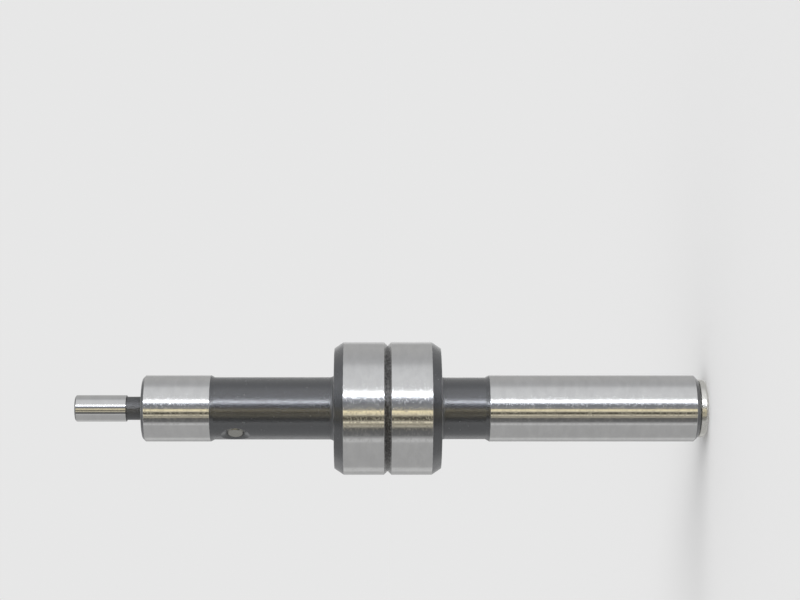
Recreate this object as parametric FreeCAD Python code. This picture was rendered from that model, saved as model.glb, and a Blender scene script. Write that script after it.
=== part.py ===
import FreeCAD, Part

import math
import os

# Mechanical edge finder for a 10 mm collet, all sizes in millimetres.
# It stands on its end plug with the stylus up: +Z runs along the axis, and the
# origin is the centre of the plug's outer face.
# A spring inside pulls the probe's ring against the shank's ring. The probe can
# slide sideways on that ring, and plug, spring and probe can turn in the shank.

# Lengths along the axis, from the plug up to the stylus
plug_flange_thickness = 1.2
shank_length = 31.3
shank_neck_length = 7.3
ring_width = 8.0
probe_body_length = 18.6
gauge_length = 10.2
stylus_neck_length = 2.5
stylus_length = 7.7

# Diameters
plug_flange_diameter = 8.7
shank_diameter = 10.0
shank_neck_diameter = 9.3
ring_diameter = 20.0
probe_body_diameter = 9.4
gauge_diameter = 10.0
stylus_neck_diameter = 3.5
stylus_diameter = 4.0
bore_diameter = 6.5

# Chamfers, tapers and root fillets
plug_edge_radius = 0.5
plug_seat_chamfer = 0.2
shank_chamfer = 0.6
shank_taper_length = 0.65
ring_chamfer_length = 1.42
ring_chamfer_depth = 0.95
parting_chamfer = 0.57
bore_chamfer = 0.3
probe_taper_length = 0.6
gauge_chamfer = 0.45
stylus_chamfer = 0.2
shank_neck_fillet = 0.5
probe_body_fillet = 0.6
stylus_neck_fillet = 0.25

# Cross pin, and the countersunk hole that it is pressed into
pin_diameter = 2.5
pin_below_surface = 0.36
pin_chamfer = 0.18
pin_to_gauge = 3.8
countersink_diameter = 4.3
countersink_angle = 120.0
bore_past_pin = 3.2
drill_point_angle = 118.0

# Stem of the end plug: a round length that turns in the bore, then a flat tang
stem_running_clearance = 0.05
stem_length = 4.0
stem_chamfer = 0.5
tang_length = 5.0
tang_thickness = 1.6
tang_bridge = 1.0
tang_hole_play = 0.7

# Tension spring, stretched between the tang and the cross pin.
# Its wire has six sides here, which keeps the coil light.
wire_diameter = 0.5
wire_sides = 6
coil_side_clearance = 0.9
coil_turns = 7
coil_pitch = 2.0
coil_above_tang = 8.0
coil_end_bend = 0.7
hook_slack = 0.2
hook_gap = 0.02
hook_bend = 1.0
hook_turn = 280.0

# Levels along the axis, from the driving lengths
shank_bottom = plug_flange_thickness
shank_top = shank_bottom + shank_length
shank_ring_bottom = shank_top + shank_neck_length
parting = shank_ring_bottom + ring_width
probe_ring_top = parting + ring_width
gauge_bottom = probe_ring_top + probe_body_length
gauge_top = gauge_bottom + gauge_length
stylus_bottom = gauge_top + stylus_neck_length
stylus_top = stylus_bottom + stylus_length
pin_level = gauge_bottom - pin_to_gauge
stem_top = shank_bottom + stem_length
tang_top = stem_top + tang_length

# Sizes that follow from the pieces they fit
tang_hole_diameter = wire_diameter + tang_hole_play
coil_diameter = bore_diameter - 2 * coil_side_clearance - wire_diameter

X_AXIS = FreeCAD.Vector(1, 0, 0)
Y_AXIS = FreeCAD.Vector(0, 1, 0)
Z_AXIS = FreeCAD.Vector(0, 0, 1)
CENTRE = FreeCAD.Vector(0, 0, 0)


def fillet_arc(before, corner, after, radius):
    """The arc that rounds one corner of an outline, kept within half of its shorter side."""
    back = before - corner
    ahead = after - corner
    half_angle = back.getAngle(ahead) / 2
    room = min(back.Length, ahead.Length) / 2
    setback = min(radius / math.tan(half_angle), room)
    radius = setback * math.tan(half_angle)
    back.normalize()
    ahead.normalize()
    bisector = back + ahead
    bisector.normalize()
    middle = corner + bisector * (radius / math.sin(half_angle) - radius)
    return Part.Arc(corner + back * setback, middle, corner + ahead * setback).toBSpline()


def turned(outline):
    """A solid of revolution about Z. Each point is (radius, level) or (radius, level, fillet)."""
    corners = [FreeCAD.Vector(point[0], 0, point[1]) for point in outline]
    fillets = [point[2] if len(point) > 2 else 0 for point in outline]
    count = len(corners)
    arcs = {}
    for i in range(count):
        if fillets[i] > 0:
            arcs[i] = fillet_arc(corners[i - 1], corners[i], corners[(i + 1) % count], fillets[i])
    edges = []
    for i in range(count):
        following = (i + 1) % count
        if i in arcs:
            edges.append(arcs[i].toShape())
        start = arcs[i].EndPoint if i in arcs else corners[i]
        end = arcs[following].StartPoint if following in arcs else corners[following]
        edges.append(Part.LineSegment(start, end).toShape())
    face = Part.Face(Part.Wire(edges))
    return face.revolve(CENTRE, Z_AXIS, 360)


def make_shank():
    """Ground shank, black neck and one ring, turned from one bar and bored through."""
    bore = bore_diameter / 2
    shank = shank_diameter / 2
    neck = shank_neck_diameter / 2
    ring = ring_diameter / 2
    return turned([
        (bore + bore_chamfer, shank_bottom),
        (shank - shank_chamfer, shank_bottom),
        (shank, shank_bottom + shank_chamfer),
        (shank, shank_top),
        (neck, shank_top + shank_taper_length),
        (neck, shank_ring_bottom, shank_neck_fillet),
        (ring - ring_chamfer_depth, shank_ring_bottom),
        (ring, shank_ring_bottom + ring_chamfer_length),
        (ring, parting - parting_chamfer),
        (ring - parting_chamfer, parting),
        (bore + bore_chamfer, parting),
        (bore, parting - bore_chamfer),
        (bore, shank_bottom + bore_chamfer),
    ])


def make_countersinks():
    """The cone at each mouth of the cross hole, wide enough to leave the round body."""
    surface = probe_body_diameter / 2
    slope = math.tan(math.radians(countersink_angle / 2))
    depth = (countersink_diameter - pin_diameter) / 2 / slope
    overshoot = depth
    wide = countersink_diameter / 2 + overshoot * slope
    cones = []
    for side in (-1, 1):
        outer = Y_AXIS * (side * (surface + overshoot)) + Z_AXIS * pin_level
        cones.append(Part.makeCone(wide, pin_diameter / 2, depth + overshoot, outer, Y_AXIS * -side))
    return cones


def make_probe():
    """The other ring, black body, ground gauge cylinder and stylus, turned from one bar."""
    bore = bore_diameter / 2
    ring = ring_diameter / 2
    body = probe_body_diameter / 2
    gauge = gauge_diameter / 2
    stylus_neck = stylus_neck_diameter / 2
    stylus = stylus_diameter / 2
    bore_end = pin_level + bore_past_pin
    bore_point = bore_end + bore / math.tan(math.radians(drill_point_angle / 2))
    blank = turned([
        (bore + bore_chamfer, parting),
        (ring - parting_chamfer, parting),
        (ring, parting + parting_chamfer),
        (ring, probe_ring_top - ring_chamfer_length),
        (ring - ring_chamfer_depth, probe_ring_top),
        (body, probe_ring_top, probe_body_fillet),
        (body, gauge_bottom - probe_taper_length),
        (gauge, gauge_bottom),
        (gauge, gauge_top - gauge_chamfer),
        (gauge - gauge_chamfer, gauge_top),
        (stylus_neck, gauge_top, stylus_neck_fillet),
        (stylus_neck, stylus_bottom),
        (stylus, stylus_bottom),
        (stylus, stylus_top - stylus_chamfer),
        (stylus - stylus_chamfer, stylus_top),
        (0, stylus_top),
        (0, bore_point),
        (bore, bore_end),
        (bore, parting + bore_chamfer),
    ])
    hole_start = Y_AXIS * -probe_body_diameter + Z_AXIS * pin_level
    cross_hole = Part.makeCylinder(pin_diameter / 2, 2 * probe_body_diameter, hole_start, Y_AXIS)
    return blank.cut([cross_hole] + make_countersinks())


def make_cross_pin():
    """Steel pin pressed across the probe, its bright ends just below the countersinks."""
    radius = pin_diameter / 2
    half = probe_body_diameter / 2 - pin_below_surface
    pin = turned([
        (0, -half),
        (radius - pin_chamfer, -half),
        (radius, pin_chamfer - half),
        (radius, half - pin_chamfer),
        (radius - pin_chamfer, half),
        (0, half),
    ])
    pin.rotate(CENTRE, X_AXIS, 90)
    pin.translate(Z_AXIS * pin_level)
    return pin


def make_end_plug():
    """Flanged plug: the spring holds its flange on the shank's end, and its stem turns in the bore."""
    flange = plug_flange_diameter / 2
    stem = bore_diameter / 2 - stem_running_clearance
    plug = turned([
        (0, 0),
        (flange, 0, plug_edge_radius),
        (flange, plug_flange_thickness - plug_seat_chamfer),
        (flange - plug_seat_chamfer, plug_flange_thickness),
        (stem, plug_flange_thickness),
        (stem, tang_top - stem_chamfer),
        (stem - stem_chamfer, tang_top),
        (0, tang_top),
    ])
    for side in (-1, 1):
        flat_cut = Part.makeBox(2 * stem, 4 * stem, 2 * tang_length)
        flat_cut.translate(FreeCAD.Vector(-stem, -2 * stem, stem_top))
        flat_cut.translate(X_AXIS * (side * (stem + tang_thickness / 2)))
        plug = plug.cut(flat_cut)
    hole_level = tang_top - tang_bridge - tang_hole_diameter / 2
    hole_start = X_AXIS * -tang_thickness + Z_AXIS * hole_level
    hole = Part.makeCylinder(tang_hole_diameter / 2, 2 * tang_thickness, hole_start, X_AXIS)
    return plug.cut(hole)


def arc_about(centre, radius, start_angle, end_angle):
    """An arc in the XZ plane, by its angles in degrees from +X towards +Z."""
    points = []
    for angle in (start_angle, (start_angle + end_angle) / 2, end_angle):
        turn = math.radians(angle)
        points.append(centre + X_AXIS * (radius * math.cos(turn)) + Z_AXIS * (radius * math.sin(turn)))
    return Part.Arc(*points).toShape()


def hook_reach(hook_radius):
    """How far below the centre of a hook its wire leaves the axis."""
    return math.sqrt(hook_radius ** 2 + 2 * hook_bend * hook_radius)


def spring_end(coil_end, hook_centre, hook_radius):
    """The wire from the top of the coil in to the axis, up to the hook and round it.

    coil_end and hook_centre are levels above the middle of the coil.
    """
    coil_radius = coil_diameter / 2
    helix_angle = math.atan(coil_pitch / (2 * math.pi * coil_radius))
    along = Y_AXIS * math.cos(helix_angle) + Z_AXIS * math.sin(helix_angle)
    across = Z_AXIS * math.cos(helix_angle) - Y_AXIS * math.sin(helix_angle)
    runout = coil_end_bend * (1 + math.sin(helix_angle)) / math.cos(helix_angle)
    leaves_coil = X_AXIS * coil_radius + Z_AXIS * coil_end
    turns_in = leaves_coil + along * runout
    over_top = turns_in - X_AXIS * (coil_radius / 2) + along * (coil_radius / 2)
    on_axis_side = turns_in - X_AXIS * coil_radius
    bend_centre = on_axis_side + across * coil_end_bend
    leg_start = bend_centre - Y_AXIS * coil_end_bend
    bend_middle = (on_axis_side + leg_start) * 0.5 - bend_centre
    bend_middle = bend_centre + bend_middle.normalize() * coil_end_bend
    leg_end = Z_AXIS * (hook_centre - hook_reach(hook_radius))
    eye = Z_AXIS * hook_centre
    lean = math.degrees(math.atan2(hook_reach(hook_radius), hook_bend))
    bend_out = arc_about(leg_end + X_AXIS * hook_bend, hook_bend, 180, 180 - lean)
    hook = arc_about(eye, hook_radius, -lean, hook_turn - lean)
    return [
        Part.LineSegment(leaves_coil, turns_in).toShape(),
        Part.Arc(turns_in, over_top, on_axis_side).toShape(),
        Part.Arc(on_axis_side, bend_middle, leg_start).toShape(),
        Part.LineSegment(leg_start, leg_end).toShape(),
        bend_out,
        hook,
    ]


def make_tension_spring():
    """One wire: a hook through the tang, the coil, a long leg and a hook over the cross pin."""
    pin_hook_inside = pin_diameter / 2 + hook_slack
    tang_hook_inside = max(pin_hook_inside, tang_thickness / 2 + hook_slack)
    pin_hook_level = pin_level + pin_diameter / 2 + hook_gap - pin_hook_inside
    hole_edge = math.sqrt(tang_hook_inside ** 2 - (tang_thickness / 2) ** 2)
    tang_hook_level = tang_top - tang_bridge - hook_gap + hole_edge
    coil_length = coil_turns * coil_pitch
    coil_middle = tang_top + coil_above_tang + coil_length / 2
    upper = spring_end(
        coil_length / 2, pin_hook_level - coil_middle, pin_hook_inside + wire_diameter / 2
    )
    lower = spring_end(
        coil_length / 2, coil_middle - tang_hook_level, tang_hook_inside + wire_diameter / 2
    )
    for edge in lower:
        edge.rotate(CENTRE, X_AXIS, 180)
    coil = Part.makeHelix(coil_pitch, coil_length, coil_diameter / 2)
    coil.translate(Z_AXIS * (-coil_length / 2))
    route = Part.Wire(Part.__sortEdges__(list(reversed(lower)) + coil.Edges + upper))
    first = route.OrderedEdges[0]
    start = first.valueAt(first.FirstParameter)
    heading = first.tangentAt(first.FirstParameter)
    outline = Part.makeCircle(wire_diameter / 2, start, heading)
    section = Part.makePolygon(outline.discretize(wire_sides + 1))
    spring = route.makePipeShell([section], True, False)
    spring.translate(Z_AXIS * coil_middle)
    return spring


nodes = {
    "shank": make_shank(),
    "probe": make_probe(),
    "cross_pin": make_cross_pin(),
    "end_plug": make_end_plug(),
    "tension_spring": make_tension_spring(),
}

os.makedirs("parts", exist_ok=True)
for name, shape in nodes.items():
    shape.exportStep("parts/" + name + ".step")
    print(name, "volume", round(shape.Volume, 2), "valid", shape.isValid())
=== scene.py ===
import math
from collections import namedtuple

import bmesh
import bpy
from mathutils import Matrix, Vector


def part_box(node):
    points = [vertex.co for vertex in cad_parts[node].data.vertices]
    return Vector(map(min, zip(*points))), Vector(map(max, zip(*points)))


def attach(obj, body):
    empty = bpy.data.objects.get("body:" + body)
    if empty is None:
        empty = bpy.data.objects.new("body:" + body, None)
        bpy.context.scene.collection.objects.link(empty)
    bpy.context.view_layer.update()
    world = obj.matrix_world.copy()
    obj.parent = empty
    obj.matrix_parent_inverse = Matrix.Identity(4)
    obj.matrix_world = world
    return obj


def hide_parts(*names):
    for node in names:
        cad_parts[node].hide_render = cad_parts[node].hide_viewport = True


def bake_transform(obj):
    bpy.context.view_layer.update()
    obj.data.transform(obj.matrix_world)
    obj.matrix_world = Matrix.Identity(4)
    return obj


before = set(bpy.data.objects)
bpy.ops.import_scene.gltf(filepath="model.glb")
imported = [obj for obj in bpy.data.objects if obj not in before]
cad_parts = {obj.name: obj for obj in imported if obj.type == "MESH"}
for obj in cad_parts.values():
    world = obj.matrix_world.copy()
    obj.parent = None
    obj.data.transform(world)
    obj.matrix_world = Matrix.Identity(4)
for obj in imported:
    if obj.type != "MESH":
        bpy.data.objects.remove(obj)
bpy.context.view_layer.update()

# Sizes below are in millimetres unless a comment or name says otherwise. MM turns them into metres.
MM = 0.001


def levels_of(node_name):
    """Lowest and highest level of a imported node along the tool's axis."""
    low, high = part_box(node_name)
    return low.z / MM, high.z / MM


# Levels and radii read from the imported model
shank_bottom, parting = levels_of("shank")
stylus_top = levels_of("probe")[1]
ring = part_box("shank")[1].x / MM
pin_low, pin_high = levels_of("cross_pin")
pin_level = (pin_low + pin_high) / 2
pin_radius = (pin_high - pin_low) / 2
pin_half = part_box("cross_pin")[1].y / MM

# Lengths along the axis
shank_length = 31.3
ring_width = 8.0
stylus_length = 7.7
stylus_neck_length = 2.5
gauge_length = 10.2

# Radii
bore = 3.25
shank = 5.0
shank_neck = 4.65
body = 4.7
gauge = 5.0
stylus_neck = 1.75
stylus = 2.0

# Chamfers, tapers and root fillets
shank_chamfer = 0.6
shank_taper = 0.65
ring_chamfer_length = 1.42
ring_chamfer_depth = 0.95
parting_chamfer = 0.57
bore_chamfer = 0.3
probe_taper = 0.6
gauge_chamfer = 0.45
stylus_chamfer = 0.2
shank_neck_fillet = 0.5
body_fillet = 0.6
stylus_neck_fillet = 0.25
pin_chamfer = 0.18
bore_past_pin = 3.2
drill_point_half_angle = math.radians(59)

# Countersink of the cross hole, where its cone would leave a flat surface
countersink = 2.15
countersink_slope = math.tan(math.radians(60))

# Every other edge is broken by a small round
edge = 0.05
fine_edge = 0.025

# Gap between each lapped ring face and the plane that the two share, and room round the pin
lapped_gap = 0.005
pin_play = 0.004

# Levels that follow
shank_top = shank_bottom + shank_length
shank_ring_bottom = parting - ring_width
probe_ring_top = parting + ring_width
stylus_bottom = stylus_top - stylus_length
gauge_top = stylus_bottom - stylus_neck_length
gauge_bottom = gauge_top - gauge_length
bore_end = pin_level + bore_past_pin
bore_point = bore_end + bore / math.tan(drill_point_half_angle)

# Mesh density: columns of vertices all round, steps of a rounded corner, and the longest step
# along a plain span
COLUMNS = 144
ARC_STEPS = 4
SPAN_STEP = 1.5

# Extra rows at these distances from the ends of a span, where they fall in its first share
EDGE_STEPS = (0.07, 0.2, 0.45)
EDGE_STEPS_SHARE = 0.4

# The most that a rounded corner takes of the spans beside it
ROUND_SHARE = 0.45

# Middle column of each end of the cross hole, and its side along Y
HOLE_ENDS = ((COLUMNS // 4, 1), (3 * COLUMNS // 4, -1))

# Round each end a window is left open in the grid: columns to either side of the middle one,
# rows, and half its height
WINDOW_COLUMNS = 14
WINDOW_ROWS = 28
WINDOW_HALF_HEIGHT = 2.8

# A patch closes it with rings that draw together towards the hole. The countersink has that
# many steps, and the wall of the hole one more ring at that depth below its mouth
PATCH_RINGS = 7
PATCH_EASING = 1.6
CONE_STEPS = 4
WALL_RING_DEPTH = 0.3

# Hollow corners with at least this round get painted shade, a rougher and hazier copy of the black,
# and wear fades within that reach of an edge
ROOT_FILLET = 0.4
WEAR_REACH = 0.12

# Points nearer to the axis than this lie on it
ON_AXIS = 1e-6


def add_object(name, data):
    """A new object in the scene."""
    made = bpy.data.objects.new(name, data)
    bpy.context.scene.collection.objects.link(made)
    return made


# Turned pieces

# A corner of an outline: its place, the radius that rounds it, the finish of the span that
# follows, and "window" where the cross hole passes through that span
Corner = namedtuple("Corner", "radius level rounding finish window", defaults=(None,))

# A row of vertices: its place and outward normal as (radius, level), its wear from 0 to 1, and
# the finish of the faces up to the next row
Row = namedtuple("Row", "place normal wear finish")


class Surface:
    """Vertices with their true normals and edge wear, and faces with their finish."""

    def __init__(self):
        self.points = []
        self.normals = []
        self.wear = []
        self.faces = []
        self.finishes = []

    def vertex(self, point, normal, wear=0.0):
        """Adds a vertex and returns its number."""
        self.points.append(point)
        self.normals.append(normal)
        self.wear.append(wear)
        return len(self.points) - 1

    def face(self, corners, finish):
        self.faces.append(corners)
        self.finishes.append(finish)

    def strip(self, first, second, finish):
        """Faces between two closed rings of vertices of the same length."""
        for i in range(len(first)):
            after = (i + 1) % len(first)
            self.face((first[i], first[after], second[after], second[i]), finish)

    def build(self, name):
        """Makes an object of what has been added."""
        mesh = bpy.data.meshes.new(name)
        mesh.from_pydata([point * MM for point in self.points], [], self.faces)
        used = sorted(set(self.finishes))
        for finish in used:
            mesh.materials.append(materials[finish])
        for polygon, finish in zip(mesh.polygons, self.finishes):
            polygon.material_index = used.index(finish)
            polygon.use_smooth = True
        wear = mesh.attributes.new("wear", "FLOAT", "POINT")
        wear.data.foreach_set("value", self.wear)
        # All faces are turned outward
        turned = bmesh.new()
        turned.from_mesh(mesh)
        bmesh.ops.recalc_face_normals(turned, faces=turned.faces)
        turned.to_mesh(mesh)
        turned.free()
        mesh.normals_split_custom_set_from_vertices(self.normals)
        return add_object(name, mesh)


def outward(direction):
    """Normal of an outline that runs in that direction."""
    return Vector((direction.y, -direction.x))


def rounded(corner, arriving, leaving, radius, room):
    """Points and outward normals of the arc that rounds one corner, and whether it is convex."""
    turn = math.atan2(arriving.x * leaving.y - arriving.y * leaving.x, arriving.dot(leaving))
    slope = math.tan(abs(turn) / 2)
    setback = min(radius * slope, room)
    radius = setback / slope
    side = math.copysign(1, turn)
    normal = outward(arriving)
    centre = corner - arriving * setback - normal * (radius * side)
    found = []
    for step in range(ARC_STEPS + 1):
        angle = turn * step / ARC_STEPS
        cosine, sine = math.cos(angle), math.sin(angle)
        turned_normal = Vector((
            normal.x * cosine - normal.y * sine,
            normal.x * sine + normal.y * cosine,
        ))
        found.append((centre + turned_normal * (radius * side), turned_normal))
    return found, side > 0


def rounded_corners(outline, closed):
    """What rounded() gives for each corner of an outline, and the direction of each span."""
    corners = [Vector((corner.radius, corner.level)) for corner in outline]
    count = len(corners)
    spans = count if closed else count - 1
    ways = [corners[(i + 1) % count] - corners[i] for i in range(spans)]
    directions = [way.normalized() for way in ways]
    lengths = [way.length for way in ways]
    arcs = []
    for i, corner in enumerate(corners):
        between_spans = closed or 0 < i < count - 1
        if between_spans and outline[i].rounding > 0:
            room = ROUND_SHARE * min(lengths[i - 1], lengths[i])
            arcs.append(rounded(corner, directions[i - 1], directions[i], outline[i].rounding, room))
        else:
            direction = directions[min(i, spans - 1)]
            arcs.append(([(corner, outward(direction))], False))
    return arcs, directions


def arc_finish(corner, finish_before, convex):
    """Finish of a corner's round: ground edges stay bright, and large hollow fillets get painted
    shade.
    """
    if convex and "ground" in (finish_before, corner.finish):
        return "ground"
    if not convex and corner.rounding >= ROOT_FILLET:
        return "root"
    return corner.finish


def window_offset(start, end, length):
    """Distance along a straight span at which its window begins."""
    above_low_end = pin_level - WINDOW_HALF_HEIGHT - min(start.y, end.y)
    if end.y > start.y:
        return above_low_end
    return length - above_low_end - 2 * WINDOW_HALF_HEIGHT


def span_offsets(length):
    """Distances along a plain span at which it gets rows, its ends left out."""
    near = [offset for offset in EDGE_STEPS if offset < length * EDGE_STEPS_SHARE]
    far = [length - offset for offset in reversed(near)]
    plain_start = near[-1] if near else 0
    plain_end = far[0] if far else length
    count = int((plain_end - plain_start) / SPAN_STEP)
    plain = [plain_start + (plain_end - plain_start) * (i + 1) / (count + 1) for i in range(count)]
    return near + plain + far


def outline_rows(outline, closed):
    """The rows of an outline, and the number of the first row and the radius of each window."""
    arcs, directions = rounded_corners(outline, closed)
    rows = []
    windows = []
    for i, corner in enumerate(outline):
        points, convex = arcs[i]
        finish = arc_finish(corner, outline[i - 1].finish, convex)
        rows += [Row(point, normal, float(convex), finish) for point, normal in points[:-1]]
        rows.append(Row(*points[-1], float(convex), corner.finish))
        if i == len(directions):
            break
        next_points, next_convex = arcs[(i + 1) % len(outline)]
        start = points[-1][0]
        end = next_points[0][0]
        length = (end - start).length
        if corner.window:
            first = window_offset(start, end, length)
            step = 2 * WINDOW_HALF_HEIGHT / WINDOW_ROWS
            offsets = [first + step * k for k in range(WINDOW_ROWS + 1)]
            windows.append((len(rows), start.x))
        else:
            offsets = span_offsets(length)
        for offset in offsets:
            to_worn_edge = min(
                offset if convex else length,
                length - offset if next_convex else length,
            )
            place = start + directions[i] * offset
            wear = math.exp(-to_worn_edge / WEAR_REACH)
            rows.append(Row(place, outward(directions[i]), wear, corner.finish))
    return rows, windows


def ring_of_vertices(surface, row):
    """Vertices all round the axis at one row, or a single one where the row lies on the axis."""
    if row.place.x < ON_AXIS:
        return [surface.vertex(Vector((0, 0, row.place.y)), Vector((0, 0, row.normal.y)), row.wear)]
    made = []
    for column in range(COLUMNS):
        angle = 2 * math.pi * column / COLUMNS
        cosine, sine = math.cos(angle), math.sin(angle)
        point = Vector((row.place.x * cosine, row.place.x * sine, row.place.y))
        normal = Vector((row.normal.x * cosine, row.normal.x * sine, row.normal.y))
        made.append(surface.vertex(point, normal, row.wear))
    return made


def cell_corners(first, second, column):
    """Corners of one face between two rings, of which either may be a point on the axis."""
    after = (column + 1) % COLUMNS
    if len(first) == 1:
        return (first[0], second[after], second[column])
    if len(second) == 1:
        return (first[column], first[after], second[0])
    return (first[column], first[after], second[after], second[column])


def window_cells(windows):
    """Cells of the grid, as (row, column), that the windows leave open."""
    return {
        (row, column)
        for first_row, _ in windows
        for centre, _ in HOLE_ENDS
        for row in range(first_row, first_row + WINDOW_ROWS)
        for column in range(centre - WINDOW_COLUMNS, centre + WINDOW_COLUMNS)
    }


def lathe(surface, outline, closed):
    """Turns an outline, each of whose rows makes a Corner, about the tool's axis.

    Returns for each window the radius and the rings of vertices that it covers.
    """
    rows, windows = outline_rows([Corner(*row) for row in outline], closed)
    open_cells = window_cells(windows)
    rings = [ring_of_vertices(surface, row) for row in rows]
    for i in range(len(rows) if closed else len(rows) - 1):
        after = (i + 1) % len(rows)
        for column in range(COLUMNS):
            if (i, column) not in open_cells:
                surface.face(cell_corners(rings[i], rings[after], column), rows[i].finish)
    return [(radius, rings[first:first + WINDOW_ROWS + 1]) for first, radius in windows]


def window_border(rings, centre):
    """The vertices round one window, in order."""
    low, high = centre - WINDOW_COLUMNS, centre + WINDOW_COLUMNS
    border = [rings[0][column] for column in range(low, high)]
    border += [rings[row][high] for row in range(WINDOW_ROWS)]
    border += [rings[WINDOW_ROWS][column] for column in range(high, low, -1)]
    border += [rings[row][low] for row in range(WINDOW_ROWS, 0, -1)]
    return border


def rim_reach(heading, radius):
    """Distance from the hole's axis at which the countersink leaves the round body."""
    halvings = 30
    low, high = 0.0, countersink
    for _ in range(halvings):
        middle = (low + high) / 2
        drop = radius - math.sqrt(radius ** 2 - (middle * math.cos(heading)) ** 2)
        if countersink - middle > countersink_slope * drop:
            low = middle
        else:
            high = middle
    return low


class HoleEnd:
    """One end of the cross hole, on the side of +Y (1) or -Y (-1) of the round body.

    Its rings have one vertex for each of the window's border, at the same heading from the
    hole's axis.
    """

    def __init__(self, surface, side, radius, border):
        self.surface = surface
        self.side = side
        self.radius = radius
        self.middle_angle = side * math.pi / 2
        self.places = [self.flat_place(index) for index in border]
        self.headings = [math.atan2(place.y, place.x) for place in self.places]
        self.rims = [rim_reach(heading, radius) for heading in self.headings]

    def flat_place(self, index):
        """A border vertex by its distance round the body and its height, from the hole."""
        point = self.surface.points[index]
        angle = math.atan2(point.y, point.x) - self.middle_angle
        return Vector((self.radius * angle, point.z - pin_level))

    def rim_place(self, heading, reach):
        """The place on the round body that lies that far from the hole's axis."""
        return Vector((
            self.radius * math.asin(reach * math.cos(heading) / self.radius),
            reach * math.sin(heading),
        ))

    def body_ring(self, share):
        """Vertices on the body, by their share of the way from the border to the countersink."""
        made = []
        for place, heading, rim in zip(self.places, self.headings, self.rims):
            here = place.lerp(self.rim_place(heading, rim + edge), share)
            angle = self.middle_angle + here.x / self.radius
            normal = Vector((math.cos(angle), math.sin(angle), 0))
            point = normal * self.radius + Vector((0, 0, pin_level + here.y))
            made.append(self.surface.vertex(point, normal))
        return made

    def inner_vertex(self, heading, reach, depth, inward_part, outward_part):
        """A vertex of the countersink or the hole. depth is measured from the tool's axis."""
        inward = Vector((self.side * math.cos(heading), 0, -math.sin(heading)))
        point = Vector((0, self.side * depth, pin_level)) - inward * reach
        normal = inward * inward_part + Vector((0, self.side, 0)) * outward_part
        return self.surface.vertex(point, normal.normalized())

    def cone_ring(self, share, hole):
        """Vertices on the countersink, by their share of the way from its rim to the hole."""
        made = []
        for heading, rim in zip(self.headings, self.rims):
            reach = (rim - edge) * (1 - share) + (hole + fine_edge) * share
            depth = self.radius - (countersink - reach) / countersink_slope
            made.append(self.inner_vertex(heading, reach, depth, 1, countersink_slope))
        return made

    def wall_ring(self, hole, depth):
        """Vertices on the wall of the hole at one depth."""
        return [self.inner_vertex(heading, hole, depth, 1, 0) for heading in self.headings]

    def bore_ring(self, hole, bore_radius):
        """Vertices where the hole meets the round bore."""
        made = []
        for heading in self.headings:
            depth = math.sqrt(bore_radius ** 2 - (hole * math.cos(heading)) ** 2)
            made.append(self.inner_vertex(heading, hole, depth, 1, 0))
        return made


def make_cross_hole(surface, windows):
    """Closes each window of the body and the bore round the cross hole, and joins the two."""
    (bore_radius, bore_rings), (body_radius, body_rings) = sorted(windows, key=lambda item: item[0])
    hole = pin_radius + pin_play
    hole_mouth = body_radius - (countersink - hole) / countersink_slope
    for centre, side in HOLE_ENDS:
        outer_border = window_border(body_rings, centre)
        # The outline runs up the body but down the bore
        inner_border = window_border(bore_rings[::-1], centre)
        end = HoleEnd(surface, side, body_radius, outer_border)
        last = outer_border
        for ring_number in range(1, PATCH_RINGS + 1):
            made = end.body_ring(1 - (1 - ring_number / PATCH_RINGS) ** PATCH_EASING)
            surface.strip(last, made, "black")
            last = made
        # The last step of the countersink and the wall of the hole take the shaded oxide: painted
        # shade round the pin
        for step in range(CONE_STEPS + 1):
            made = end.cone_ring(step / CONE_STEPS, hole)
            surface.strip(last, made, "shade" if step == CONE_STEPS else "black")
            last = made
        for depth in (hole_mouth - fine_edge, hole_mouth - WALL_RING_DEPTH):
            made = end.wall_ring(hole, depth)
            surface.strip(last, made, "shade")
            last = made
        made = end.bore_ring(hole, bore_radius)
        surface.strip(last, made, "turned")
        surface.strip(made, inner_border, "turned")


def make_shank():
    """The shank, its neck and the lower half of the ring."""
    surface = Surface()
    lathe(surface, [
        (bore + bore_chamfer, shank_bottom, edge, "black"),
        (shank - shank_chamfer, shank_bottom, edge, "black"),
        (shank, shank_bottom + shank_chamfer, edge, "ground"),
        (shank, shank_top, fine_edge, "black"),
        (shank_neck, shank_top + shank_taper, 3 * edge, "black"),
        (shank_neck, shank_ring_bottom, shank_neck_fillet, "black"),
        (ring - ring_chamfer_depth, shank_ring_bottom, edge, "black"),
        (ring, shank_ring_bottom + ring_chamfer_length, edge, "ground"),
        (ring, parting - parting_chamfer, edge, "dull"),
        (ring - parting_chamfer, parting - lapped_gap, fine_edge, "lapped"),
        (bore + bore_chamfer, parting - lapped_gap, edge, "turned"),
        (bore, parting - bore_chamfer, edge, "turned"),
        (bore, shank_bottom + bore_chamfer, edge, "turned"),
    ], closed=True)
    piece = surface.build("ground_shank")
    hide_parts("shank")
    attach(piece, "shank")


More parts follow.
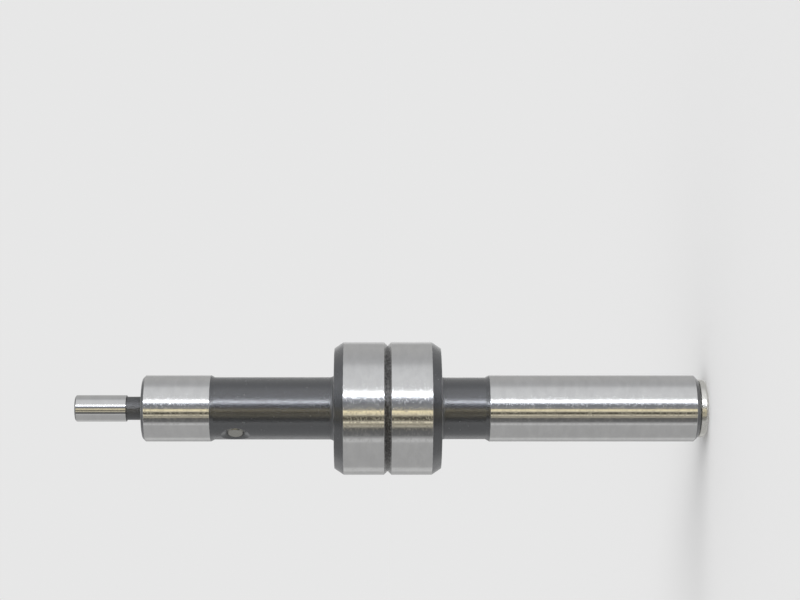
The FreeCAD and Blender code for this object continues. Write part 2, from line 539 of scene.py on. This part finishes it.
def make_probe():
    """The upper half of the ring, the black body, the gauge cylinder and the stylus."""
    surface = Surface()
    windows = lathe(surface, [
        (0, bore_point, 0, "turned"),
        (bore, bore_end, edge, "turned", "window"),
        (bore, parting + bore_chamfer, edge, "turned"),
        (bore + bore_chamfer, parting + lapped_gap, edge, "lapped"),
        (ring - parting_chamfer, parting + lapped_gap, fine_edge, "dull"),
        (ring, parting + parting_chamfer, edge, "ground"),
        (ring, probe_ring_top - ring_chamfer_length, edge, "black"),
        (ring - ring_chamfer_depth, probe_ring_top, edge, "black"),
        (body, probe_ring_top, body_fillet, "black", "window"),
        (body, gauge_bottom - probe_taper, 3 * edge, "black"),
        (gauge, gauge_bottom, fine_edge, "ground"),
        (gauge, gauge_top - gauge_chamfer, edge, "black"),
        (gauge - gauge_chamfer, gauge_top, edge, "black"),
        (stylus_neck, gauge_top, stylus_neck_fillet, "shade"),
        (stylus_neck, stylus_bottom, fine_edge, "shade"),
        (stylus, stylus_bottom, fine_edge, "polished"),
        (stylus, stylus_top - stylus_chamfer, fine_edge, "black"),
        (stylus - stylus_chamfer, stylus_top, fine_edge, "black"),
        (0, stylus_top, 0, "black"),
    ], closed=False)
    make_cross_hole(surface, windows)
    piece = surface.build("ground_probe")
    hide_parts("probe")
    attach(piece, "probe")


def make_pin():
    """The cross pin, whose ends show at the bottom of the countersinks."""
    surface = Surface()
    lathe(surface, [
        (0, -pin_half, 0, "pin"),
        (pin_radius - pin_chamfer, -pin_half, fine_edge, "pin"),
        (pin_radius, pin_chamfer - pin_half, fine_edge, "pin"),
        (pin_radius, pin_half - pin_chamfer, fine_edge, "pin"),
        (pin_radius - pin_chamfer, pin_half, fine_edge, "pin"),
        (0, pin_half, 0, "pin"),
    ], closed=False)
    piece = surface.build("pressed_pin")
    piece.data.transform(Matrix.Rotation(math.radians(90), 4, "X"))
    piece.data.transform(Matrix.Translation((0, 0, pin_level * MM)))
    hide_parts("cross_pin")
    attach(piece, "probe")


def make_spring():
    """The wire, copied from the imported spring with the turned finish, its hooks at the pin and at
    the plug.
    """
    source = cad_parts["tension_spring"]
    mesh = source.data.copy()
    mesh.materials.clear()
    mesh.materials.append(materials["turned"])
    for polygon in mesh.polygons:
        polygon.material_index = 0
        polygon.use_smooth = True
    piece = add_object("leaning_spring", mesh)
    piece.matrix_world = source.matrix_world.copy()
    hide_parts("tension_spring")
    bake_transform(piece)


# Materials

STEEL = (0.6, 0.6, 0.595)
STEEL_TONES = ((0.585, 0.585, 0.58), (0.62, 0.62, 0.615))
WORN_STEEL = (0.5, 0.5, 0.49)

# The black's tints, and how far it varies round its brightness
BLUISH = (0.9, 1.05, 1.32)
NEUTRAL = (1.02, 1.0, 0.97)
BLACK_TONES = (0.8, 1.22)


class Shader:
    """One metal material, built node by node."""

    def __init__(self, name, colour, roughness):
        self.material = bpy.data.materials.new(name)
        self.material.use_nodes = True
        self.tree = self.material.node_tree
        self.surface = self.tree.nodes["Principled BSDF"]
        self.surface.inputs["Base Color"].default_value = (*colour, 1)
        self.surface.inputs["Metallic"].default_value = 1
        self.surface.inputs["Roughness"].default_value = roughness
        self.place = self.node("ShaderNodeTexCoord").outputs["Object"]
        self.relief = None

    def node(self, kind, **settings):
        """A new node with these settings."""
        made = self.tree.nodes.new(kind)
        for name, value in settings.items():
            setattr(made, name, value)
        return made

    def feed(self, source, target):
        """Links an output to an input, or writes a plain value into it."""
        if isinstance(source, bpy.types.NodeSocket):
            self.tree.links.new(source, target)
        else:
            target.default_value = source

    def noise(self, around, along, detail=2.0, seed=0.0):
        """Noise from 0 to 1 with a grain of that size in millimetres round and along the axis."""
        scaled = self.node("ShaderNodeMapping")
        per_metre = [1 / (size * MM) for size in (around, around, along)]
        scaled.inputs["Scale"].default_value = per_metre
        scaled.inputs["Location"].default_value = (seed, 2.3 * seed, 5.1 * seed)
        self.feed(self.place, scaled.inputs["Vector"])
        texture = self.node("ShaderNodeTexNoise")
        texture.inputs["Scale"].default_value = 1
        texture.inputs["Detail"].default_value = detail
        self.feed(scaled.outputs["Vector"], texture.inputs["Vector"])
        return texture.outputs["Fac"]

    def math(self, operation, first, second=0.0):
        """The result of one sum. Each side is an output or a number."""
        made = self.node("ShaderNodeMath", operation=operation)
        self.feed(first, made.inputs[0])
        self.feed(second, made.inputs[1])
        return made.outputs[0]

    def ramp(self, value, low, high, to_low=0.0, to_high=1.0):
        """value from low to high becomes to_low to to_high, smoothly and held at both ends."""
        made = self.node("ShaderNodeMapRange", interpolation_type="SMOOTHSTEP", clamp=True)
        made.inputs["From Min"].default_value = low
        made.inputs["From Max"].default_value = high
        made.inputs["To Min"].default_value = to_low
        made.inputs["To Max"].default_value = to_high
        self.feed(value, made.inputs["Value"])
        return made.outputs["Result"]

    def mix_colour(self, factor, first, second):
        """The first colour at factor 0, the second at 1."""
        made = self.node("ShaderNodeMix", data_type="RGBA")
        self.feed(factor, made.inputs["Factor"])
        for source, name in ((first, "A"), (second, "B")):
            socket = [s for s in made.inputs if s.name == name and s.type == "RGBA"][0]
            self.feed(source if isinstance(source, bpy.types.NodeSocket) else (*source, 1), socket)
        return [s for s in made.outputs if s.type == "RGBA"][0]

    def mix_value(self, factor, first, second):
        """The first value at factor 0, the second at 1."""
        made = self.node("ShaderNodeMix", data_type="FLOAT")
        self.feed(factor, made.inputs["Factor"])
        self.feed(first, made.inputs["A"])
        self.feed(second, made.inputs["B"])
        return made.outputs["Result"]

    def bump(self, height, depth):
        """Adds relief of that depth in millimetres to what is there already."""
        made = self.node("ShaderNodeBump")
        made.inputs["Strength"].default_value = 1
        made.inputs["Distance"].default_value = depth * MM
        self.feed(height, made.inputs["Height"])
        if self.relief is not None:
            self.feed(self.relief, made.inputs["Normal"])
        self.relief = made.outputs["Normal"]
        self.feed(self.relief, self.surface.inputs["Normal"])

    def attribute(self, name):
        """A value kept in the mesh for each vertex."""
        return self.node("ShaderNodeAttribute", attribute_name=name).outputs["Fac"]

    def scratches(self, around, along, width, seed):
        """Thin wandering lines, 1 on the line: where a stretched noise crosses its middle value."""
        wandering = self.noise(around, along, 1.0, seed)
        from_middle = self.math("ABSOLUTE", self.math("SUBTRACT", wandering, 0.5))
        lines = self.ramp(from_middle, 0, width, 1, 0)
        patches = self.ramp(self.noise(3.0, 3.0, 1.0, seed + 9), 0.52, 0.62)
        return self.math("MULTIPLY", lines, patches)


def ground_steel(name, relief):
    """Hard, finely ground steel: fine rings and short streaks round the cylinder."""
    shader = Shader(name, STEEL, 0.14)
    shader.surface.inputs["Anisotropic"].default_value = 0.5
    shader.surface.inputs["Anisotropic Rotation"].default_value = 0.25
    tangent = shader.node("ShaderNodeTangent", direction_type="RADIAL", axis="Z")
    shader.feed(tangent.outputs["Tangent"], shader.surface.inputs["Tangent"])
    streaks = shader.noise(0.36, 0.15, detail=0.0)
    specks = shader.ramp(shader.noise(0.42, 0.2, detail=0.0, seed=11.0), 0.48, 0.66)
    rings = shader.noise(5.0, 0.07, detail=2.0, seed=4.0)
    nicks = shader.scratches(0.7, 0.5, width=0.02, seed=7.0)
    blotches = shader.noise(2.5, 1.2, detail=3.0, seed=2.0)
    fine = shader.ramp(blotches, 0.35, 0.7, 0.08, 0.1)
    matt = 0.09 + 0.15 * relief
    shader.feed(shader.mix_value(specks, fine, matt), shader.surface.inputs["Roughness"])
    tone = shader.mix_colour(shader.ramp(blotches, 0.3, 0.7), *STEEL_TONES)
    shader.feed(tone, shader.surface.inputs["Base Color"])
    shader.bump(rings, 0.0015)
    shader.bump(streaks, 0.0012 * relief)
    shader.bump(nicks, 0.0006)
    return shader.material


def black_oxide(name, tint, brightness, roughness, coat_roughness, bare_spots):
    """Blackened turned steel, with the black worn off the outer edges and off fine specks."""
    shader = Shader(name, [brightness * channel for channel in tint], roughness)
    shader.surface.inputs["Coat Weight"].default_value = 1
    shader.surface.inputs["Coat IOR"].default_value = 2.15
    shader.surface.inputs["Coat Roughness"].default_value = coat_roughness
    grain = shader.noise(0.26, 0.32, detail=0.0)
    sparkle = shader.ramp(shader.noise(0.24, 0.24, detail=0.0, seed=13.0), 0.3, 0.7)
    turning = shader.noise(4.0, 0.12, detail=2.0, seed=3.0)
    beads = shader.noise(0.7, 0.45, detail=1.0, seed=15.0)
    cloud = shader.noise(2.2, 1.4, detail=3.0, seed=6.0)
    specks = shader.ramp(shader.noise(0.3, 0.3, detail=1.0, seed=8.0), bare_spots, bare_spots + 0.06)
    flakes = shader.noise(0.9, 0.5, detail=3.0, seed=5.0)
    chipped = shader.math("MULTIPLY", shader.attribute("wear"), flakes)
    bare_edges = shader.ramp(chipped, 0.28, 0.45, 0, 0.5)
    bare_specks = shader.math("MULTIPLY", specks, 0.35)
    bare = shader.math("MAXIMUM", bare_edges, bare_specks)
    tones = [[share * brightness * channel for channel in tint] for share in BLACK_TONES]
    mottle = shader.math("MULTIPLY", shader.math("ADD", cloud, sparkle), 0.5)
    tone = shader.mix_colour(shader.ramp(mottle, 0.25, 0.75), *tones)
    shader.feed(shader.mix_colour(bare, tone, WORN_STEEL), shader.surface.inputs["Base Color"])
    rough = shader.ramp(cloud, 0.3, 0.7, roughness, roughness + 0.08)
    shader.feed(shader.mix_value(bare, rough, 0.24), shader.surface.inputs["Roughness"])
    shader.bump(turning, 0.0015)
    shader.bump(beads, 0.007)
    shader.bump(grain, 0.009)
    shader.feed(shader.relief, shader.surface.inputs["Coat Normal"])
    return shader.material


def lapped_steel():
    """The flat faces that slide on each other."""
    shader = Shader("lapped_steel", STEEL, 0.1)
    shader.bump(shader.noise(0.4, 0.4, detail=3.0), 0.002)
    haze = shader.noise(3.0, 3.0, detail=3.0, seed=2.0)
    shader.feed(shader.ramp(haze, 0.3, 0.7, 0.08, 0.2), shader.surface.inputs["Roughness"])
    return shader.material


def turned_steel(name, colour):
    """Plain machined steel with fine tool marks."""
    shader = Shader(name, colour, 0.25)
    shader.bump(shader.noise(3.0, 0.1, detail=2.0), 0.002)
    shader.bump(shader.noise(0.3, 0.3, detail=2.0, seed=3.0), 0.002)
    haze = shader.noise(1.5, 1.0, detail=3.0, seed=2.0)
    shader.feed(shader.ramp(haze, 0.3, 0.7, 0.2, 0.32), shader.surface.inputs["Roughness"])
    return shader.material


materials = {
    "ground": ground_steel("ground_steel", relief=1),
    "polished": ground_steel("polished_steel", relief=0.35),
    "black": black_oxide(
        "black_oxide", BLUISH, brightness=0.024, roughness=0.36, coat_roughness=0.235, bare_spots=0.74
    ),
    "dull": black_oxide(
        "dull_oxide", NEUTRAL, brightness=0.1, roughness=0.45, coat_roughness=0.25, bare_spots=0.5
    ),
    # Painted shade for large hollow fillets: a rougher, hazier copy of the black
    "root": black_oxide(
        "painted_root_shade", BLUISH, brightness=0.03, roughness=0.55, coat_roughness=0.35, bare_spots=0.9
    ),
    "shade": black_oxide(
        "shaded_oxide", BLUISH, brightness=0.02, roughness=0.6, coat_roughness=0.5, bare_spots=0.9
    ),
    "lapped": lapped_steel(),
    "turned": turned_steel("turned_steel", (0.5, 0.495, 0.47)),
    "plug": turned_steel("plug_steel", (0.72, 0.71, 0.67)),
    # The pin's steel is darker than the other turned steel, so that its ends, sunk in the
    # countersinks, look dark: painted shade
    "pin": turned_steel("pin_steel", (0.34, 0.335, 0.31)),
}

make_shank()
make_probe()
make_pin()
make_spring()

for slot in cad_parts["end_plug"].material_slots:
    slot.material = materials["plug"]


# Studio

CAMERA_AZIMUTH = 60.0
FLOOR_COLOUR = 0.8
WORLD_STRENGTH = 0.8

# The wall's distance and the level of its middle are in metres
WALL_DISTANCE = 0.6
WALL_MIDDLE = 0.05
WALL_COLUMNS = 1440

# Brightness of the reflected surroundings, by the angle in degrees from the camera's direction
# towards the top of the picture. Each list holds (angle, brightness) and runs on into the next.
FAR_BELOW = [
    (-180, 0.55), (-150, 0.5), (-143, 0.55), (-136, 0.72), (-126, 0.68), (-121, 0.52), (-62, 0.53),
    (-58, 0.72), (-54, 0.68), (-51.5, 0.48), (-49, 0.32),
]
DARK_BELOW = [(-47, 0.19), (-34, 0.16)]
LOWER_LINES = [
    (-32, 0.46), (-30, 0.74), (-28.5, 0.4), (-27, 0.36), (-25.5, 0.6), (-24.6, 0.95), (-23.8, 1.25),
    (-22.8, 0.95),
]
DARK_BETWEEN = [(-21.4, 0.25), (-19, 0.13), (-15, 0.12)]
UPPER_LINE = [
    (-13.6, 0.22), (-12.4, 0.5), (-11.2, 0.9), (-10, 1.12), (-8, 1.02), (-6.5, 1.35), (-5.2, 1.6),
    (-4.4, 1.15),
]
DARK_MIDDLE = [
    (-3.2, 0.48), (-2.2, 0.33), (4, 0.33), (6.5, 0.27), (9, 0.27), (12, 0.34), (15, 0.46), (17, 0.75),
]
LAMP = [(19, 1.15), (20.6, 2.4), (21.7, 9), (23.8, 9), (25, 5.2), (26.2, 2.8)]
BRIGHT_ABOVE = [
    (27.6, 1.8), (29, 1.47), (30.5, 1.27), (32, 1.1), (34, 0.98), (36, 0.93), (42, 0.9), (50, 0.9),
    (70, 0.84), (76, 0.78),
]
FAR_ABOVE = [
    (84, 0.62), (95, 0.56), (125, 0.58), (146, 0.52), (152, 0.68), (165, 0.78), (172, 0.85),
    (180, 0.55),
]
GLOW = (
    FAR_BELOW + DARK_BELOW + LOWER_LINES + DARK_BETWEEN + UPPER_LINE + DARK_MIDDLE + LAMP
    + BRIGHT_ABOVE + FAR_ABOVE
)

# The same high up and low down, where the chamfers look
HIGH_GLOW = [
    (-180, 0.55), (-62, 0.5), (-50, 0.3), (-45, 0.2), (-34, 0.2), (-26, 0.3), (-20, 0.4), (-4, 0.42),
    (0, 0.3), (6, 0.18), (25, 0.18), (38, 0.4), (55, 0.6), (180, 0.6),
]

# Heights of the wall's rows from its middle in metres, and what each row shows
WALL_LEVELS = [
    (-2.5, HIGH_GLOW), (-1.15, HIGH_GLOW), (-0.9, GLOW),
    (0.9, GLOW), (1.15, HIGH_GLOW), (2.5, HIGH_GLOW),
]

# Colour of a warm part of the surroundings, and how much of it there is at each angle.
# Less than none makes it as much cooler.
WARM_COLOUR = (1.0, 0.92, 0.72)
WARMTH = [
    (-180, 0), (-38, 0), (-30, 1), (-12, 1), (-7, 1.5), (-4, 1.5), (-1, 0), (10, -0.45), (23, -0.45),
    (27, -0.1), (90, -0.1), (120, 0), (180, 0),
]


def direction_at(angle):
    """Unit vector at an angle in degrees from the camera's direction."""
    azimuth = math.radians(CAMERA_AZIMUTH + angle)
    return Vector((math.sin(azimuth), -math.cos(azimuth), 0))


def between(table, angle):
    """The value of a table of (angle, value) at an angle, straight between its rows."""
    for (a, low), (b, high) in zip(table, table[1:]):
        if a <= angle <= b:
            return low + (high - low) * (angle - a) / (b - a)
    return table[-1][1]


def glow_at(angle, table):
    """Colour and strength of the surroundings in one direction."""
    strength = between(table, angle)
    warmth = between(WARMTH, angle)
    return [strength * (1 + (channel - 1) * warmth) for channel in WARM_COLOUR] + [1]


def make_wall():
    """A tall round wall of light and dark that only reflections see."""
    mesh = bpy.data.meshes.new("reflected_wall")
    points = []
    values = []
    for height, table in WALL_LEVELS:
        for column in range(WALL_COLUMNS):
            angle = -180 + column * 360 / WALL_COLUMNS
            points.append(direction_at(angle) * WALL_DISTANCE + Vector((0, 0, WALL_MIDDLE + height)))
            values += glow_at(angle, table)
    faces = []
    for level in range(len(WALL_LEVELS) - 1):
        low = level * WALL_COLUMNS
        high = low + WALL_COLUMNS
        for column in range(WALL_COLUMNS):
            after = (column + 1) % WALL_COLUMNS
            faces.append((low + column, low + after, high + after, high + column))
    mesh.from_pydata(points, [], faces)
    mesh.attributes.new("glow", "FLOAT_COLOR", "POINT").data.foreach_set("color", values)
    material = bpy.data.materials.new("reflected_wall")
    material.use_nodes = True
    nodes = material.node_tree.nodes
    nodes.clear()
    output = nodes.new("ShaderNodeOutputMaterial")
    emission = nodes.new("ShaderNodeEmission")
    attribute = nodes.new("ShaderNodeAttribute")
    attribute.attribute_name = "glow"
    material.node_tree.links.new(attribute.outputs["Color"], emission.inputs["Color"])
    material.node_tree.links.new(emission.outputs[0], output.inputs["Surface"])
    mesh.materials.append(material)
    wall = add_object("reflected_wall", mesh)
    wall.visible_camera = False
    wall.visible_diffuse = False
    wall.visible_shadow = False


def make_floor():
    """The plain pale floor that the tool stands on."""
    mesh = bpy.data.meshes.new("floor")
    half_width_in_metres = 6.0
    low, high = -half_width_in_metres, half_width_in_metres
    corners = [(low, low, 0), (high, low, 0), (high, high, 0), (low, high, 0)]
    mesh.from_pydata(corners, [], [(0, 1, 2, 3)])
    material = bpy.data.materials.new("floor")
    material.use_nodes = True
    shader = material.node_tree.nodes["Principled BSDF"]
    shader.inputs["Base Color"].default_value = (FLOOR_COLOUR, FLOOR_COLOUR, FLOOR_COLOUR, 1)
    shader.inputs["Roughness"].default_value = 0.9
    shader.inputs["Specular IOR Level"].default_value = 0.0
    mesh.materials.append(material)
    floor = add_object("floor", mesh)
    floor.visible_glossy = False


def make_sun():
    """Soft light from above that brings the floor to the brightness of the world behind it."""
    tilt = math.radians(35)
    softness = math.radians(40)
    data = bpy.data.lights.new("sky", "SUN")
    data.angle = softness
    data.energy = math.pi * WORLD_STRENGTH * (1 / FLOOR_COLOUR - 1) / math.cos(tilt)
    lamp = add_object("sky", data)
    towards = direction_at(60) * math.sin(tilt) + Vector((0, 0, math.cos(tilt)))
    lamp.rotation_mode = "QUATERNION"
    lamp.rotation_quaternion = towards.to_track_quat("Z", "Y")
    lamp.visible_glossy = False


def make_world():
    """An even white sky."""
    world = bpy.data.worlds.new("studio")
    bpy.context.scene.world = world
    world.use_nodes = True
    background = world.node_tree.nodes["Background"]
    background.inputs["Color"].default_value = (1, 1, 1, 1)
    background.inputs["Strength"].default_value = WORLD_STRENGTH


def make_camera():
    """Level with the middle of the tool and rolled, so that the standing tool lies in the picture."""
    distance = 313.0
    centre_level = 50.0
    picture_width = 800
    pixels_per_mm = 6.622
    # In pixels, how far the tool's axis lies below the middle of the picture, and how far the
    # middle of the lens lies left of it
    axis_below_middle = 108.3
    lens_left_of_middle = 27
    focal_pixels = pixels_per_mm * distance
    data = bpy.data.cameras.new("camera")
    data.sensor_width = 36
    data.lens = focal_pixels / picture_width * data.sensor_width
    data.shift_x = lens_left_of_middle / picture_width
    data.clip_start = 0.02
    data.clip_end = 20
    camera = add_object("camera", data)
    back = direction_at(0)
    up = direction_at(90)
    pan = math.atan(axis_below_middle / focal_pixels)
    view = (-back * math.cos(pan) + up * math.sin(pan)).normalized()
    right = Vector((0, 0, -1))
    true_up = right.cross(view)
    turn = Matrix((right, true_up, -view)).transposed()
    place = back * distance * MM + Vector((0, 0, centre_level * MM))
    camera.matrix_world = Matrix.Translation(place) @ turn.to_4x4()
    bpy.context.scene.camera = camera


make_wall()
make_floor()
make_sun()
make_world()
make_camera()
bpy.context.scene.view_settings.view_transform = "Standard"
